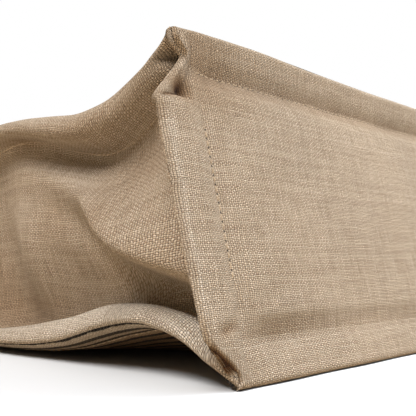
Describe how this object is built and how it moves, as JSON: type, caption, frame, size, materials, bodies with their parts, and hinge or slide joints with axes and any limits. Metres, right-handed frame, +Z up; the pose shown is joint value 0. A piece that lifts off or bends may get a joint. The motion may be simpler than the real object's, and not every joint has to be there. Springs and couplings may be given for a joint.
{
  "type": "tote bag",
  "caption": "Open tote bag of natural linen with a striped front panel, pinched seams, a stiffened base and swinging leather strap handles, lying on its front.",
  "frame": {"origin": "on the floor, under the middle of the flat part of the front panel", "axes": "+Y from the base to the mouth, +X along the base's width, +Z up with the bag lying on its front"},
  "size_m": [0.4306, 0.5622, 0.1388],
  "materials": {
    "linen": "coarse natural plain weave, undyed",
    "striped_linen": "coarse natural plain weave with thin black pinstripes",
    "board": "plain fibreboard",
    "leather": "vegetable-tanned, burnished edges",
    "rivet": "brushed, slightly aged"
  },
  "bodies": {
    "bag": {"front_panel": "striped_linen", "back_panel": "linen", "left_gusset": "linen", "right_gusset": "linen", "bottom_panel": "linen", "bottom_board": "board", "front_left_tab": "leather", "front_right_tab": "leather", "back_left_tab": "leather", "back_right_tab": "leather", "front_left_rivet_1_cap": "rivet", "front_left_rivet_1_back": "rivet", "front_left_rivet_2_cap": "rivet", "front_left_rivet_2_back": "rivet", "front_right_rivet_1_cap": "rivet", "front_right_rivet_1_back": "rivet", "front_right_rivet_2_cap": "rivet", "front_right_rivet_2_back": "rivet", "back_left_rivet_1_cap": "rivet", "back_left_rivet_1_back": "rivet", "back_left_rivet_2_cap": "rivet", "back_left_rivet_2_back": "rivet", "back_right_rivet_1_cap": "rivet", "back_right_rivet_1_back": "rivet", "back_right_rivet_2_cap": "rivet", "back_right_rivet_2_back": "rivet"},
    "front_loop": {"front_handle": "leather"},
    "back_loop": {"back_handle": "leather"}
  },
  "joints": [
    {"name": "front_handle_swing", "type": "hinge", "parent": "bag", "child": "front_loop", "pos_m": [0, 0.22615, 0.0056], "axis": [1, 0, 0], "range_deg": [0, 20]},
    {"name": "back_handle_swing", "type": "hinge", "parent": "bag", "child": "back_loop", "pos_m": [0, 0.22615, 0.06715], "axis": [-1, 0, 0], "range_deg": [0, 158]}
  ]
}
